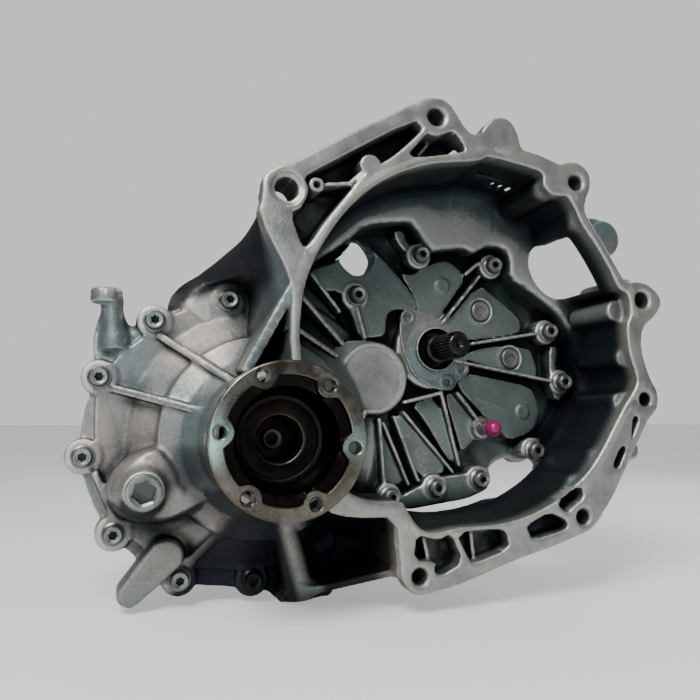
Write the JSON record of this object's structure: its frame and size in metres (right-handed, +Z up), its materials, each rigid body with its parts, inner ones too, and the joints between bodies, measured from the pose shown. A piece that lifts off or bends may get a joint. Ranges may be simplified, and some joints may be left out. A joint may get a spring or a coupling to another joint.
{
  "type": "manual transmission",
  "caption": "Transverse manual transmission with a clutch bell, a final drive with drive flanges on both sides, a synchronised gear train and selector levers.",
  "frame": {"origin": "the centre of the input shaft's front end, 28 mm behind the clutch housing's engine face", "axes": "+Y along the shafts away from the engine, +Z up as in use, +X away from the differential"},
  "size_m": [0.453, 0.3583, 0.373],
  "materials": {
    "cast_aluminium": "as-cast, machined on the mating faces",
    "zinc_bolt": "zinc plated",
    "steel": "ground",
    "dark_steel": "oiled",
    "flange_steel": "turned steel, lightly browned",
    "seal_rubber": "matt",
    "cap_plastic": "moulded",
    "brass": "cast, machined pads"
  },
  "bodies": {
    "housing": {"clutch_housing": "cast_aluminium", "gear_case": "cast_aluminium", "end_cover": "cast_aluminium", "selector_cover": "cast_aluminium", "release_guide_plate": "cast_aluminium", "bell_bolt_1": "zinc_bolt", "bell_bolt_2": "zinc_bolt", "bell_bolt_3": "zinc_bolt", "bell_bolt_4": "zinc_bolt", "bell_bolt_5": "zinc_bolt", "bell_bolt_6": "zinc_bolt", "bell_bolt_7": "zinc_bolt", "bell_bolt_8": "zinc_bolt", "bell_bolt_9": "zinc_bolt", "case_bolt_1": "zinc_bolt", "case_bolt_2": "zinc_bolt", "case_bolt_3": "zinc_bolt", "case_bolt_4": "zinc_bolt", "case_bolt_5": "zinc_bolt", "case_bolt_6": "zinc_bolt", "case_bolt_7": "zinc_bolt", "filler_plug": "zinc_bolt", "release_pivot_stud": "steel", "pivot_stud_cap": "cap_plastic", "flange_seal_right": "seal_rubber", "input_bearing_front": "steel", "input_bearing_rear": "steel", "output_bearing_front": "steel", "output_bearing_rear": "steel", "differential_bearing_right": "steel", "differential_bearing_left": "steel", "reverse_idler_shaft": "steel"},
    "input": {"input_shaft": "dark_steel"},
    "output": {"output_shaft": "dark_steel"},
    "differential": {"differential_case": "dark_steel", "ring_gear": "steel", "spider_pin": "steel"},
    "right_drive": {"drive_flange_right": "flange_steel", "side_gear_right": "steel"},
    "left_drive": {"drive_flange_left": "flange_steel", "side_gear_left": "steel"},
    "spider_upper": {"spider_gear_upper": "steel"},
    "spider_lower": {"spider_gear_lower": "steel"},
    "first_gear": {"gear_1_output": "steel"},
    "second_gear": {"gear_2_output": "steel"},
    "third_gear": {"gear_3_input": "steel"},
    "fourth_gear": {"gear_4_input": "steel"},
    "fifth_gear": {"gear_5_output": "steel"},
    "reverse_gear": {"reverse_gear_output": "steel"},
    "reverse_idler": {"reverse_idler_gear": "steel"},
    "sleeve_12": {"sleeve_1_2": "steel"},
    "sleeve_34": {"sleeve_3_4": "steel"},
    "sleeve_5r": {"sleeve_5_r": "steel"},
    "fork_12": {"shift_fork_12": "brass"},
    "fork_34": {"shift_fork_34": "brass"},
    "fork_5r": {"shift_fork_5r": "brass"},
    "select_slide_body": {"select_collar": "brass"},
    "selector": {"selector_shaft": "steel", "selector_lever": "dark_steel"},
    "relay": {"relay_lever": "dark_steel"}
  },
  "joints": [
    {"name": "input_spin", "type": "hinge", "parent": "housing", "child": "input", "pos_m": [0, 0.072, 0], "axis": [0, 1, 0], "continuous": true},
    {"name": "differential_spin", "type": "hinge", "parent": "housing", "child": "differential", "pos_m": [-0.148, 0.062, -0.071], "axis": [0, 1, 0], "continuous": true},
    {"name": "output_spin", "type": "hinge", "parent": "housing", "child": "output", "pos_m": [-0.055, 0.122, -0.025], "axis": [0, 1, 0], "continuous": true},
    {"name": "right_drive_spin", "type": "hinge", "parent": "differential", "child": "right_drive", "pos_m": [-0.148, -0.028, -0.071], "axis": [0, 1, 0], "continuous": true},
    {"name": "left_drive_spin", "type": "hinge", "parent": "differential", "child": "left_drive", "pos_m": [-0.148, 0.152, -0.071], "axis": [0, 1, 0], "continuous": true},
    {"name": "spider_upper_spin", "type": "hinge", "parent": "differential", "child": "spider_upper", "pos_m": [-0.148, 0.065, -0.051], "axis": [0, 0, 1], "continuous": true},
    {"name": "spider_lower_spin", "type": "hinge", "parent": "differential", "child": "spider_lower", "pos_m": [-0.148, 0.065, -0.091], "axis": [0, 0, 1], "continuous": true},
    {"name": "first_gear_spin", "type": "hinge", "parent": "housing", "child": "first_gear", "pos_m": [-0.055, 0.107, -0.025], "axis": [0, 1, 0], "continuous": true},
    {"name": "second_gear_spin", "type": "hinge", "parent": "housing", "child": "second_gear", "pos_m": [-0.055, 0.147, -0.025], "axis": [0, 1, 0], "continuous": true},
    {"name": "third_gear_spin", "type": "hinge", "parent": "housing", "child": "third_gear", "pos_m": [0, 0.167, 0], "axis": [0, 1, 0], "continuous": true},
    {"name": "fourth_gear_spin", "type": "hinge", "parent": "housing", "child": "fourth_gear", "pos_m": [0, 0.203, 0], "axis": [0, 1, 0], "continuous": true},
    {"name": "fifth_gear_spin", "type": "hinge", "parent": "housing", "child": "fifth_gear", "pos_m": [-0.055, 0.246, -0.025], "axis": [0, 1, 0], "continuous": true},
    {"name": "reverse_idler_spin", "type": "hinge", "parent": "housing", "child": "reverse_idler", "pos_m": [0.00235, 0.279, -0.03808], "axis": [0, 1, 0], "continuous": true},
    {"name": "reverse_gear_spin", "type": "hinge", "parent": "housing", "child": "reverse_gear", "pos_m": [-0.055, 0.279, -0.025], "axis": [0, 1, 0], "continuous": true},
    {"name": "fork_12_slide", "type": "slide", "parent": "housing", "child": "fork_12", "axis": [0, 1, 0], "range_m": [-0.0045, 0.0045]},
    {"name": "sleeve_12_slide", "type": "slide", "parent": "output", "child": "sleeve_12", "axis": [0, 1, 0], "range_m": [-0.0045, 0.0045]},
    {"name": "fork_34_slide", "type": "slide", "parent": "housing", "child": "fork_34", "axis": [0, 1, 0], "range_m": [-0.0045, 0.0045]},
    {"name": "sleeve_34_slide", "type": "slide", "parent": "input", "child": "sleeve_34", "axis": [0, 1, 0], "range_m": [-0.0045, 0.0045]},
    {"name": "fork_5r_slide", "type": "slide", "parent": "housing", "child": "fork_5r", "axis": [0, 1, 0], "range_m": [-0.0045, 0.0045]},
    {"name": "sleeve_5r_slide", "type": "slide", "parent": "output", "child": "sleeve_5r", "axis": [0, 1, 0], "range_m": [-0.0045, 0.0045]},
    {"name": "select_slide", "type": "slide", "parent": "housing", "child": "select_slide_body", "axis": [0, 0, 1], "range_m": [-0.005, 0.005]},
    {"name": "shift_turn", "type": "hinge", "parent": "select_slide_body", "child": "selector", "pos_m": [0.01, 0.125, 0.142], "axis": [0, 0, 1], "range_deg": [-14, 14]},
    {"name": "relay_lever_tilt", "type": "hinge", "parent": "housing", "child": "relay", "pos_m": [0.01, 0.161, 0.122], "axis": [1, 0, 0], "range_deg": [-12, 12]}
  ],
  "couplings": [
    {"joint": "output_spin", "follows": "differential_spin", "ratio": -4.1538},
    {"joint": "third_gear_spin", "follows": "differential_spin", "ratio": 5.1312},
    {"joint": "fourth_gear_spin", "follows": "differential_spin", "ratio": 3.7385},
    {"joint": "first_gear_spin", "follows": "input_spin", "ratio": -0.31034},
    {"joint": "second_gear_spin", "follows": "input_spin", "ratio": -0.52},
    {"joint": "fifth_gear_spin", "follows": "input_spin", "ratio": -1.375},
    {"joint": "reverse_idler_spin", "follows": "input_spin", "ratio": -0.71429},
    {"joint": "reverse_gear_spin", "follows": "input_spin", "ratio": 0.43478},
    {"joint": "left_drive_spin", "follows": "right_drive_spin", "ratio": -1},
    {"joint": "spider_upper_spin", "follows": "right_drive_spin", "ratio": 1.6},
    {"joint": "spider_lower_spin", "follows": "right_drive_spin", "ratio": -1.6},
    {"joint": "sleeve_12_slide", "follows": "fork_12_slide", "ratio": 1},
    {"joint": "sleeve_34_slide", "follows": "fork_34_slide", "ratio": 1},
    {"joint": "sleeve_5r_slide", "follows": "fork_5r_slide", "ratio": 1},
    {"joint": "relay_lever_tilt", "follows": "select_slide", "rad_per_m": -40}
  ]
}
